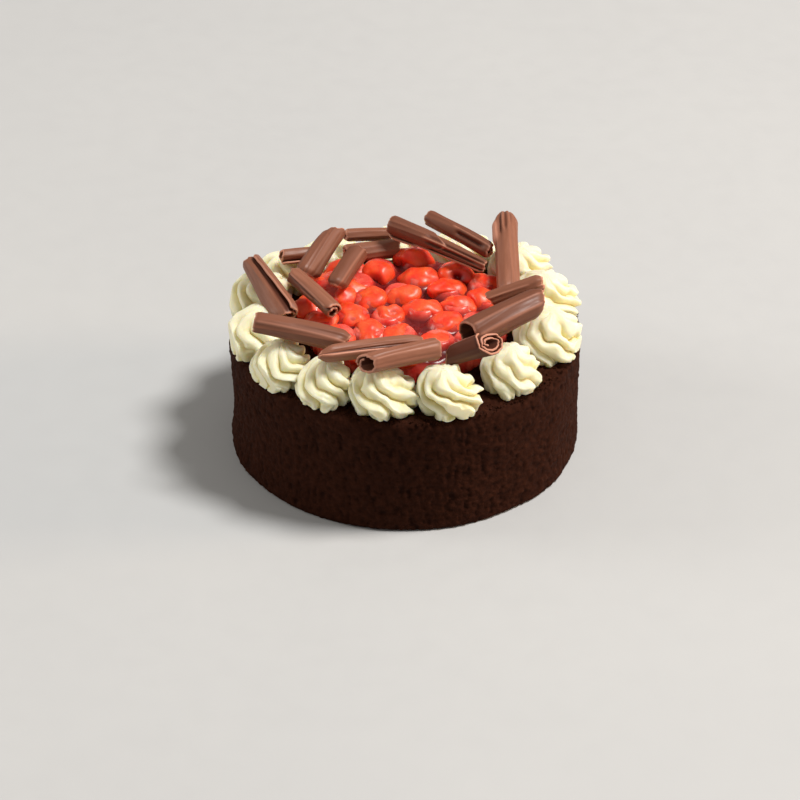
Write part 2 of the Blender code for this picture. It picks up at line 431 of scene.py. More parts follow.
def buildSponge(s):
    low, high = boxOf("chocolate_cake")
    outer = 0.5 * (high.x - low.x)
    height = high.z
    bm = spinProfile(spongeProfile(outer - s["inset"], height, s), s["steps"])
    shadeAndDepth = bm.verts.layers.float.new("shadeAndDepth")
    largeLump, smallLump = s["lumpSizes"]
    largePit, smallPit = s["pitSizes"]
    limit = outer - s["margin"]
    for vert in bm.verts:
        x, y, z = vert.co
        out = math.hypot(x, y)
        if out < 0.5 or z < 0.01:       # the middle and the flat underside stay as they are
            continue
        # lumps, pits and grain
        onTop = smoothStep(height - 3.0, height, z)
        push = s["wobble"] * wave(x, y, z, s["wobbleSize"], 1)
        lump = wave(x, y, 0.7 * z, largeLump, 2) + 0.6 * wave(x, y, 0.8 * z, smallLump, 3)
        pit = wave(x, y, 0.35 * z, largePit, 4) + 0.45 * wave(x, y, 0.6 * z, smallPit, 5)
        pit = smoothStep(0.12, 0.5, pit)
        push += s["lumps"] * lump - s["pits"] * pit * (0.5 + 0.5 * wave(x, y, z, 11.0, 6))
        push += s["grain"] * wave(x, y, z, s["grainSize"], 7)
        nearTop = smoothStep(height - 12.0, height - 1.0, z)
        push += s["rimLumps"] * nearTop * wave(x, y, z, s["rimLumpSize"], 8)
        # the slow shape of the side
        push -= s["drawnIn"] * math.sin(math.pi * clamp(z / height)) ** 2
        angle = math.atan2(y, x)
        leftSide = bell(math.pi - abs(angle), 0.55)
        push += leftSide * (s["bulge"] * (1.0 - smoothStep(5.0, 17.0, z))
                            - s["waist"] * bell(z - 0.45 * height, 0.3 * height))
        side = Vector((x / out, y / out, 0.0))
        vert.co += side * push * (1.0 - onTop) + Vector((0, 0, 1)) * min(push, s["topRise"]) * onTop
        vert.co += side * 0.4 * push * onTop
        out = math.hypot(vert.co.x, vert.co.y)
        if out > limit:
            vert.co.x *= limit / out
            vert.co.y *= limit / out
        vert.co.z = clamp(vert.co.z, 0.0, height + 0.3)
        # painted shade in the pits and painted light on the lumps
        vert[shadeAndDepth] = clamp(0.30 - 0.35 * lump + 0.35 * pit)
    return finishPiece(bm, "chocolateCake", "sponge", "chocolate_cake")


buildSponge(sponge)
print("sponge done")


# The piped cream. turn is where its ridges start, lean how far its top hangs over (x, y), fan the
# side where the ridge ends stick out, drip an angle and a length of one end that runs down.
# grow and tall scale its radius and height, shift moves it (x, y).
cream = {
    "steps": 192,
    "rows": 84,
    "grow": 1.10,       # over the solid's radius, so that neighbours touch
    "widest": 0.30,     # share of the height
    "foot": 0.93,       # radius at the foot, as a share of the widest
    "twist": 92.0,      # of the ridges from the foot to the top
    "bend": (0.42, 0.12),       # how far the ridges wander, in radians, slowly and quickly
    "bendSizes": (10.0, 4.5),
    "skin": 1.3,        # the ridges rise this far over the mound
    "groove": 4.8,
    "footGroove": 2.6,
    "tip": 2.0,         # how far the ridge ends stick out
    "tipHigh": 0.13,    # share of the height
    "undercut": 1.2,    # between those ends
    "dripWide": 0.30,   # in radians
    "wobble": 1.3,
    "streak": 0.30,
    "overhang": 86.0,   # which way the top is pushed out: 90 is straight up
    "soften": 0.35,
    "sink": 0.4,        # into the sponge
}
swirls = {
    "cream_rosette_01": {"turn": 10, "lobes": 7, "lean": (-3.0, 1.5), "fan": -35, "seed": 1,
                         "grow": 0.96},
    "cream_rosette_02": {"turn": 35, "lobes": 8, "lean": (-3.5, 1.0), "fan": -10, "seed": 2,
                         "grow": 0.87},
    "cream_rosette_03": {"turn": 5, "lobes": 7, "lean": (0.0, 1.5), "fan": -20, "seed": 3,
                         "grow": 0.88, "drip": (-95, 3.6)},
    "cream_rosette_04": {"turn": 50, "lobes": 7, "lean": (1.0, 1.0), "fan": -20, "seed": 4,
                         "grow": 0.95, "drip": (-85, 2.4)},
    "cream_rosette_05": {"turn": 15, "lobes": 8, "lean": (-1.5, 1.5), "fan": 40, "seed": 5,
                         "grow": 0.93, "shift": (-1.4, -2.6)},
    "cream_rosette_06": {"turn": 28, "lobes": 8, "lean": (1.0, -1.0), "fan": 70, "seed": 6,
                         "grow": 0.97, "tall": 0.92, "shift": (0.3, 0.2)},
    "cream_rosette_07": {"turn": 44, "lobes": 7, "lean": (0.0, -2.0), "fan": 95, "seed": 7,
                         "tall": 0.72, "shift": (0.0, -0.6)},
    "cream_rosette_08": {"turn": 8, "lobes": 8, "lean": (2.0, 1.0), "fan": 120, "seed": 8,
                         "tall": 0.62, "shift": (0.0, -1.0)},
    "cream_rosette_09": {"turn": 31, "lobes": 7, "lean": (1.0, -1.5), "fan": 150, "seed": 9,
                         "tall": 0.62, "shift": (0.4, 0.2)},
    "cream_rosette_10": {"turn": 52, "lobes": 7, "lean": (-1.0, 1.5), "fan": 180, "seed": 10,
                         "tall": 0.84},
    "cream_rosette_11": {"turn": 20, "lobes": 7, "lean": (1.5, 1.0), "fan": -160, "seed": 11},
    "cream_rosette_12": {"turn": 40, "lobes": 7, "lean": (1.5, 1.0), "fan": -120, "seed": 12,
                         "drip": (-130, 2.6)},
    "cream_rosette_13": {"turn": 0, "lobes": 8, "lean": (2.0, 2.0), "fan": -110, "seed": 13,
                         "drip": (-115, 2.8)},
    "cream_rosette_14": {"turn": 24, "lobes": 7, "lean": (1.5, 2.5), "fan": -80, "seed": 14,
                         "drip": (-95, 3.0), "grow": 0.92, "shift": (1.4, 0.0)},
}


# Radius of the mound at a share of its height, as a share of its widest radius
def swirlOutline(lift, s):
    if lift < s["widest"]:
        return lerp(s["foot"], 1.0, math.sin(0.5 * math.pi * lift / s["widest"]))
    above = (lift - s["widest"]) / (1.0 - s["widest"])
    return max(0.0, 1.0 - above ** 2.1) ** 0.56


# Shares of the height, closer together near the top, where the mound is flat
def swirlLift(row, rows):
    return math.sin(0.5 * math.pi * row / rows) ** 0.95


# 0 in a groove to 1 on a ridge: narrow grooves between round ridges
def ridgeShape(place, roundness):
    across = abs((place % 1.0) - 0.5) * 2.0
    return (1.0 - (1.0 - across) ** 2) ** roundness


def buildSwirl(node, own, s):
    low, high = boxOf(node)
    centre = (low + high) / 2
    widest = 0.25 * (high.x - low.x + high.y - low.y) * s["grow"] * own.get("grow", 1.0)
    height = (high.z - low.z) * own.get("tall", 1.0)
    rows = s["rows"]
    profile = [(0.0, 0.0), (0.5 * widest, 0.0)]
    profile += [(widest * swirlOutline(swirlLift(row, rows), s), height * swirlLift(row, rows))
                for row in range(rows)]
    profile.append((0.0, height))
    bm = spinProfile(profile, s["steps"])
    shadeAndDepth = bm.verts.layers.float.new("shadeAndDepth")
    seed, lobes = own["seed"], own["lobes"]
    dice = random.Random(seed)
    strength = [dice.uniform(0.65, 1.25) for _ in range(lobes)]
    tips = [dice.uniform(0.10, 0.42) for _ in range(lobes)]
    fan = math.radians(own["fan"])
    dripAngle, dripLength = own.get("drip", (0.0, 0.0))
    (wide, narrow), (wideSize, narrowSize) = s["bend"], s["bendSizes"]
    for vert in bm.verts:
        # where the place lies across the twisted ridges
        x, y, z = vert.co
        out = math.hypot(x, y)
        lift = z / height
        angle = math.atan2(y, x)
        turned = angle - math.radians(own["turn"])
        turned += math.radians(s["twist"]) * smoothStep(0.10, 0.96, lift)
        turned += wide * wave(x, y, z, wideSize, seed) + narrow * wave(x, y, z, narrowSize, seed + 0.5)
        place = turned / (2 * math.pi) * lobes
        ridge = ridgeShape(place, 0.9)
        footPlace = 2.0 * place + 0.5 + 0.35 * wave(x, y, z, 6.0, seed + 60)
        footRidge = ridgeShape(footPlace, 0.8)
        # how deep the grooves are, and how far the ridge ends stick out
        fanned = smoothStep(-0.6, 0.8, math.cos(angle - fan))
        depth = s["groove"] * strength[int(place // 1) % lobes]
        depth *= lerp(0.55, 1.0, smoothStep(0.0, 0.30, lift)) * (1.0 - smoothStep(0.72, 1.0, lift))
        foot = s["footGroove"] * (1.0 - smoothStep(0.02, 0.34, lift)) * lerp(0.45, 1.0, fanned)
        dent = depth * (1.0 - ridge) + foot * (1.0 - footRidge)
        tip = tips[int(place // 1) % lobes]
        push = s["skin"] - dent
        push += fanned * s["tip"] * ridge * bell(lift - tip, s["tipHigh"])
        push -= fanned * s["undercut"] * (1.0 - ridge) * (1.0 - smoothStep(tip - 0.16, tip, lift))
        fromDrip = math.remainder(angle - math.radians(dripAngle), 2 * math.pi)
        push += dripLength * bell(fromDrip, s["dripWide"]) * (1.0 - smoothStep(0.02, 0.34, lift))
        push += s["wobble"] * wave(x, y, z, 10.0, seed + 20)
        push += s["streak"] * wave(5.0 * place, 2.0 * lift, 0.0, 1.0, seed + 40)
        # outwards at the side and upwards on top, then the lean
        above = clamp((lift - s["widest"]) / (1.0 - s["widest"]))
        tilt = math.radians(s["overhang"]) * above ** 1.2
        if out > 0.01:
            newOut = max(0.0, out + push * math.cos(tilt))
            x, y = x * newOut / out, y * newOut / out
        z += (push - s["skin"]) * math.sin(tilt)
        hang = smoothStep(0.2, 1.0, lift)
        x += own["lean"][0] * hang
        y += own["lean"][1] * hang
        vert.co = Vector((x, y, clamp(z, 0.0, height)))
        # painted shade in the grooves and towards the foot
        vert[shadeAndDepth] = clamp(0.19 * dent + 0.20 * (1.0 - smoothStep(0.0, 0.3, lift)))
    bmesh.ops.smooth_vert(bm, verts=bm.verts, factor=s["soften"],
                          use_axis_x=True, use_axis_y=True, use_axis_z=True)
    shift = own.get("shift", (0.0, 0.0))
    place = Vector((centre.x + shift[0], centre.y + shift[1], low.z - s["sink"]))
    bmesh.ops.translate(bm, vec=place, verts=bm.verts)
    reach = cadBox[1][0] / mm - 0.1     # no swirl hangs past the sponge
    for vert in bm.verts:
        out = math.hypot(vert.co.x, vert.co.y)
        if out > reach:
            vert.co.xy *= reach / out
    return finishPiece(bm, node.replace("cream_rosette_", "creamSwirl"), "cream", node)


for node, own in swirls.items():
    buildSwirl(node, own, cream)
print("cream done")


# The cherries. open is a torn hollow: how wide and how deep, and facing where it opens; shift moves
# a cherry, size and turn are set where chance would not do.
cherries = {
    "segments": 44,
    "rings": 28,
    "long": (10.6, 13.0),
    "wide": (9.0, 10.6),
    "tall": (5.8, 7.4),
    "dimple": 2.8,      # at the stalk
    "crease": 0.7,      # from the dimple down one side
    "wrinkle": 1.9,
    "fineWrinkle": 0.30,
    "acrossSkin": 9.0,  # how far apart on the skin two directions a radian apart are
    "tornLip": 0.6,     # round a torn hollow
}
specialCherries = {
    "cherry_01": {"size": (12.4, 9.6, 9.6), "turn": 4, "shift": (-2.4, 1.0, 0.8)},
    "cherry_02": {"size": (12.6, 8.8, 8.0), "turn": -6},
    "cherry_03": {"shift": (-1.5, -4.5, 0.0), "size": (9.8, 9.4, 8.4), "turn": -30},
    "cherry_04": {"open": (5.0, 7.5), "facing": (0.12, -0.66, 0.68), "shift": (1.5, -6.5, 1.6),
                  "size": (11.6, 9.8, 8.4), "turn": -12},
    "cherry_06": {"size": (11.4, 7.8, 7.6), "turn": 4, "shift": (1.5, -2.5, 0.0)},
    "cherry_07": {"shift": (5.0, -1.0, 0.0), "size": (8.6, 8.2, 7.8), "turn": 20},
    "cherry_09": {"shift": (1.5, -4.0, -0.8)},
    "cherry_11": {"size": (11.6, 8.2, 7.6), "turn": 12},
    "cherry_14": {"open": (3.0, 3.0), "facing": (0.4, -0.3, 0.85), "turn": 50},
}


def randomDirection(dice, low, high):
    return Vector((dice.uniform(-1, 1), dice.uniform(-1, 1), dice.uniform(low, high))).normalized()


def buildCherry(number, s):
    node = f"cherry_{number:02d}"
    own = specialCherries.get(node, {})
    low, high = boxOf(node)
    centre = (low + high) / 2
    dice = random.Random(100 + number)
    bm = bmesh.new()
    bmesh.ops.create_uvsphere(bm, u_segments=s["segments"], v_segments=s["rings"], radius=1.0)
    shadeAndDepth = bm.verts.layers.float.new("shadeAndDepth")
    size = Vector((dice.uniform(*s["long"]), dice.uniform(*s["wide"]), dice.uniform(*s["tall"])))
    size = Vector(own.get("size", size))
    heading = dice.gauss(0.0, 0.5)
    heading = math.radians(own["turn"]) if "turn" in own else heading
    turn = Matrix.Rotation(heading, 3, "Z") @ Matrix.Rotation(dice.uniform(-0.35, 0.35), 3, "Y")
    stalk = randomDirection(dice, -0.4, 0.9)
    crease = randomDirection(dice, -0.3, 0.3)
    facing = Vector(own.get("facing", (0, 0, 1))).normalized()
    openWide, openDeep = own.get("open", (1.0, 0.0))
    for vert in bm.verts:
        direction = vert.co.normalized()
        point = turn @ Vector((direction.x * size.x, direction.y * size.y, direction.z * size.z))
        dip = s["dimple"] * bell(1.0 - direction.dot(stalk), 0.16)
        line = bell(direction.dot(crease), 0.16) * smoothStep(-0.2, 0.7, direction.dot(stalk))
        fromMouth = s["acrossSkin"] * math.acos(clamp(direction.dot(facing), -1.0, 1.0))
        mouth = openDeep * bell(fromMouth, openWide)
        rimUp = s["tornLip"] * bell(fromMouth - 5.5, 2.2) * (openDeep > 0)
        push = s["wrinkle"] * wave(*point, 6.5, number)
        push += s["fineWrinkle"] * wave(*point, 2.8, number + 0.5)
        push += rimUp - dip - s["crease"] * line - mouth
        vert.co = point + point.normalized() * push
        # painted shade in the stalk dimple, the crease and a torn hollow
        vert[shadeAndDepth] = clamp(0.22 * dip + 0.15 * line + 0.2 * mouth)
    bmesh.ops.translate(bm, vec=centre + Vector(own.get("shift", (0.0, 0.0, 0.0))), verts=bm.verts)
    return finishPiece(bm, f"cherry{number:02d}", "cherry", node)


cherryNodes = sorted(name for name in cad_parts
                     if name.startswith("cherry_") and name != "cherry_glaze")
for number in range(1, len(cherryNodes) + 1):
    buildCherry(number, cherries)
print("cherries done")


# The glaze that the cherries lie in
glaze = {
    "cells": 150,
    "climb": 4.2,       # how far it rises up the cherries
    "climbFrom": 7.0,   # from a cherry's middle, and how wide the slope is
    "climbWide": 2.3,
    "level": 3.4,       # of the gaps, from the solid's top
    "ripple": 0.45,
    "lowGaps": 0.9,     # how much lower the wide gaps are
    "short": 4.0,       # how far its rim lies inside the solid's
    "rimWobble": 1.8,
    "edge": 4.0,        # how wide the rounding of the rim is
    "skirt": 0.3,       # how far the rim goes into the sponge
}


def buildGlaze(s):
    low, high = boxOf("cherry_glaze")
    radius = 0.5 * (high.x - low.x)
    middles = [sum(boxOf(node), Vector()) / 2 for node in cherryNodes]
    bm = bmesh.new()
    bmesh.ops.create_grid(bm, x_segments=s["cells"], y_segments=s["cells"], size=radius + 1.0)
    shadeAndDepth = bm.verts.layers.float.new("shadeAndDepth")
    far = []
    for vert in bm.verts:
        x, y, _ = vert.co
        out = math.hypot(x, y)
        rim = radius - s["short"] + s["rimWobble"] * wave(x, y, 0.0, 9.0, 60)
        if out > rim + 0.4:
            far.append(vert)
            continue
        near = min(math.hypot(x - middle.x, y - middle.y) for middle in middles)
        climb = bell(max(0.0, near - s["climbFrom"]), s["climbWide"])
        level = high.z + s["level"] + s["climb"] * climb + s["ripple"] * wave(x, y, 0.0, 7.0, 61)
        level -= s["lowGaps"] * smoothStep(10.5, 14.0, near)
        share = clamp((rim - out) / s["edge"])
        vert.co.z = low.z + (level - low.z) * math.sqrt(max(0.0, 1.0 - (1.0 - share) ** 2))
        # darker away from the cherries, where the gel is thicker and painted shade fills the gaps;
        # paler at the rim, where it is thin
        vert[shadeAndDepth] = clamp(1.0 - 1.15 * climb) * smoothStep(0.0, 0.8, share)
    bmesh.ops.delete(bm, geom=far, context="VERTS")
    border = [edge for edge in bm.edges if edge.is_boundary]
    skirt = bmesh.ops.extrude_edge_only(bm, edges=border)["geom"]
    for vert in (item for item in skirt if isinstance(item, bmesh.types.BMVert)):
        vert.co.z = low.z - s["skirt"]
    bmesh.ops.holes_fill(bm, edges=[edge for edge in bm.edges if edge.is_boundary], sides=0)
    bmesh.ops.recalc_face_normals(bm, faces=bm.faces)
    return finishPiece(bm, "cherryGlaze", "glaze", "cherry_glaze")


buildGlaze(glaze)
print("glaze done")


# The chocolate rolls: a curled sheet each. from, to and wide are its ends and its width at each,
# edge the angle where the sheet's outer edge lies, slide how far that edge wanders along the roll.
# cuts slants its two ends: how steeply, and the angle of the longer side. pinch narrows an end.
# Each mark is a groove or, if its depth is negative, a ridge: angle, where it starts and ends as
# shares of the length, depth and width in degrees. step is a torn outer layer: share, depth, slant.
# One value says how much darker than the others a roll is: painted shade over a roll that lies in
# shade.
rolls = {
    "cells": (64, 120),     # along the roll and around it
    "sheet": 1.35,
    "pitch": 2.1,           # how much smaller each turn is than the last
    "sides": 7,
    "facet": 0.55,          # 0 is round and 1 has flat sides
    "oval": (0.01, 0.05),
    "fineWrinkle": 0.22,    # as a share of the roll's own wrinkle
    "ragged": (1.0, 0.45),  # how far the ends run in and out, slowly and quickly
    "raggedSizes": (3.6, 1.4),
    "corner": 2.2,          # rounding of the outer edge's two corners
    "endDip": 0.3,          # the last bit of each end curls in this far
    "narrowest": 0.9,       # radius of the innermost turn
    "rimWide": 0.7,         # how far from its rim the sheet starts to thin
    # the paler break at the ends and the outer edge is partly a painted highlight
    "paleEnd": 1.2,         # how wide the paler break is at the ends and at the outer edge
    "paleEdge": 0.9,
}
rollPieces = {
    "chocolate_roll_01": {"from": (-82, -46.5, 102.5), "to": (-33, -55, 95), "wide": (13.6, 14.6),
                          "turns": 1.3, "edge": 300, "lip": 0.5, "bow": 0.8, "wrinkle": 0.35,
                          "seed": 1, "dark": 0.34, "pinch": (0.0, 0.22),
                          "cuts": ((2, 90), (24, 60)),
                          "marks": ((136, 0, 1, -0.45, 8), (112, 0.4, 1, 0.3, 7))},
    "chocolate_roll_02": {"from": (-66.3, -25, 93), "to": (-87.5, 22, 100.5), "wide": (19, 12.5),
                          "turns": 1.2, "edge": 98, "slide": -14, "lip": 1.5, "bow": 0.6,
                          "wrinkle": 0.4, "seed": 2, "dark": 0.22, "pinch": (0.12, 0.0),
                          "cuts": ((30, 90), (16, 250)), "marks": ((88, 0, 0.93, 1.0, 9),)},
    "chocolate_roll_03": {"from": (-40, -23.5, 95.5), "to": (-63, 5.5, 101), "wide": (11.5, 12),
                          "turns": 1.6, "edge": 40, "slide": 10, "lip": 0.9, "bow": 0.3,
                          "wrinkle": 0.3, "seed": 3,
                          "marks": ((12, 0.35, 0.7, -0.7, 9), (28, 0.1, 0.9, 0.6, 9))},
    "chocolate_roll_04": {"from": (-40.5, 49.5, 103), "to": (-56.5, 16.5, 94.5), "wide": (12.5, 15),
                          "turns": 1.4, "edge": 270, "lip": 0.3, "bow": 0.4, "wrinkle": 0.4,
                          "seed": 4, "dark": 0.34, "cuts": ((36, 330), (34, 90)),
                          "pinch": (0.0, 0.25), "marks": ((25, 0.1, 1, 0.4, 9),)},
    "chocolate_roll_05": {"from": (-69.5, 35.5, 95), "to": (-50, 43.5, 92.5), "wide": (9.8, 9.5),
                          "turns": 1.3, "edge": 200, "lip": 0.4, "bow": 0.0, "wrinkle": 0.3,
                          "seed": 5},
    "chocolate_roll_06": {"from": (-27, 37, 97), "to": (-39.5, 4.0, 94.5), "wide": (13, 12.5),
                          "turns": 1.5, "edge": 290, "lip": 0.4, "bow": 0.8, "wrinkle": 0.25,
                          "seed": 6, "dark": 0.50, "cuts": ((6, 0), (38, 90)), "pinch": (0.0, 0.35),
                          "marks": ((45, 0, 1, -0.3, 9),)},
    "chocolate_roll_07": {"from": (-34.5, 60, 94), "to": (-8.5, 66.5, 91), "wide": (9, 9),
                          "turns": 1.2, "edge": 280, "lip": 0.5, "bow": 0.3, "wrinkle": 0.3,
                          "seed": 7},
    "chocolate_roll_08": {"from": (-34, 49, 88), "to": (-3, 55.5, 88), "wide": (13, 13),
                          "turns": 1.4, "edge": 300, "lip": 0.4, "bow": 0.0, "wrinkle": 0.3,
                          "seed": 8, "cuts": ((4, 0), (3, 0))},
    "chocolate_roll_09": {"from": (-8.5, 56, 103.8), "to": (44.5, 22.5, 96.5), "wide": (14.6, 10.5),
                          "turns": 1.2, "edge": 250, "lip": 0.4, "bow": 0.6, "wrinkle": 0.4,
                          "seed": 9, "dark": 0.48, "step": (0.38, 0.9, 14),
                          "cuts": ((4, 0), (12, 140)),
                          "marks": ((112, 0.4, 1, 0.9, 10), (132, 0.36, 1.1, -0.5, 8),
                                    (152, 0.42, 0.95, 1.2, 9), (172, 0.5, 1.1, -0.4, 8),
                                    (190, 0.45, 0.9, 0.7, 8))},
    "chocolate_roll_10": {"from": (13, 72, 99), "to": (48.5, 43, 93.5), "wide": (11.6, 11.8),
                          "turns": 1.4, "edge": 280, "lip": 0.4, "bow": 0.5, "wrinkle": 0.3,
                          "seed": 10, "dark": 0.48, "cuts": ((3, 0), (14, 180)),
                          "marks": ((132, 0.5, 0.93, 1.5, 15), (106, 0.4, 1, -0.4, 8))},
    "chocolate_roll_11": {"from": (57, 64.5, 103.8), "to": (57, 1, 92.5), "wide": (15.2, 14.5),
                          "turns": 1.2, "edge": 250, "lip": 0.3, "bow": 0.8, "wrinkle": 0.45,
                          "seed": 11, "pinch": (0.22, 0.0), "cuts": ((10, 90), (4, 90)),
                          "marks": ((122, 0, 0.34, 1.6, 10), (88, -0.1, 0.30, 1.5, 8),
                                    (60, -0.1, 0.22, 1.0, 8), (105, 0, 0.3, -0.4, 7),
                                    (168, 0.1, 0.4, -1.5, 30), (140, 0.15, 1.1, -0.3, 8))},
    "chocolate_roll_12": {"from": (47, -10, 94), "to": (76, -8.5, 104), "wide": (12, 12.6),
                          "turns": 1.3, "edge": 215, "lip": 0.5, "bow": 0.3, "wrinkle": 0.35,
                          "seed": 12, "dark": 0.20, "pinch": (0.0, 0.25),
                          "cuts": ((18, 90), (6, 90)), "marks": ((130, 0, 0.8, -0.4, 9),)},
    "chocolate_roll_13": {"from": (35, -50.5, 96), "to": (73, -27, 103.5), "wide": (20.5, 18.4),
                          "turns": 1.1, "edge": 290, "lip": 0.5, "bow": 0.9, "wrinkle": 0.4,
                          "seed": 13, "dark": 0.54, "cuts": ((6, 0), (24, 70)),
                          "pinch": (0.0, 0.12),
                          "marks": ((108, 0, 1, -0.35, 6), (148, 0, 1, -0.4, 7),
                                    (190, 0, 1, 0.4, 8))},
    "chocolate_roll_14": {"from": (22, -67.5, 94), "to": (46.3, -67.5, 103.6), "wide": (11.5, 15.4),
                          "turns": 2.3, "edge": 80, "lip": 0.7, "bow": 0.0, "wrinkle": 0.3,
                          "seed": 14, "dark": 0.88, "cuts": ((20, 250), (38, 320))},
    "chocolate_roll_15": {"from": (-46, -75, 101), "to": (8.5, -55, 95.8), "wide": (11, 11.5),
                          "turns": 1.2, "edge": 160, "slide": 12, "lip": 0.8, "bow": 0.7,
                          "wrinkle": 0.35, "seed": 15, "cuts": ((22, 200), (10, 90)),
                          "pinch": (0.5, 0.2), "marks": ((150, 0, 1, 0.7, 8),)},
    "chocolate_roll_16": {"from": (-22, -87.5, 102), "to": (16.5, -68.5, 99.5),
                          "wide": (12.5, 13.5), "turns": 1.25, "edge": 330, "lip": 0.5, "bow": 0.4,
                          "wrinkle": 0.3, "seed": 16, "cuts": ((30, 330), (10, 90)),
                          "marks": ((128, 0, 1, -0.35, 8), (165, 0, 1, 0.3, 8))},
}


# Roughly how long the curled sheet is, unrolled
def arcLength(own, s):
    return math.pi * own["turns"] * (0.5 * sum(own["wide"]) - s["sheet"] - s["pitch"] * own["turns"])


# How much smaller the radius is after some turns: each turn dips under the last one only near its end
def turnDrop(turn, s):
    whole = math.floor(turn)
    return s["pitch"] * (whole + smoothStep(0.45, 1.0, turn - whole))


# A circle with flat sides of unequal width, as a share of its radius
def facetShape(angle, along, seed, s):
    warped = angle + 0.40 * math.sin(2 * angle + seed) + 0.25 * math.sin(3 * angle + 2 * seed)
    warped += 0.012 * along
    cell = 2 * math.pi / s["sides"]
    local = warped % cell - 0.5 * cell
    return lerp(1.0, 1.035 * math.cos(0.5 * cell) / math.cos(local), s["facet"])


# Depth at an angle in radians and a share of the length
def markDepth(marks, angle, share):
    total = 0.0
    for middle, start, end, depth, width in marks:
        off = math.remainder(angle - math.radians(middle), 2 * math.pi)
        fade = smoothStep(start - 0.03, start + 0.06, share)
        fade *= 1.0 - smoothStep(end - 0.10, end + 0.03, share)
        total += depth * fade * bell(math.degrees(off), width)
    return total


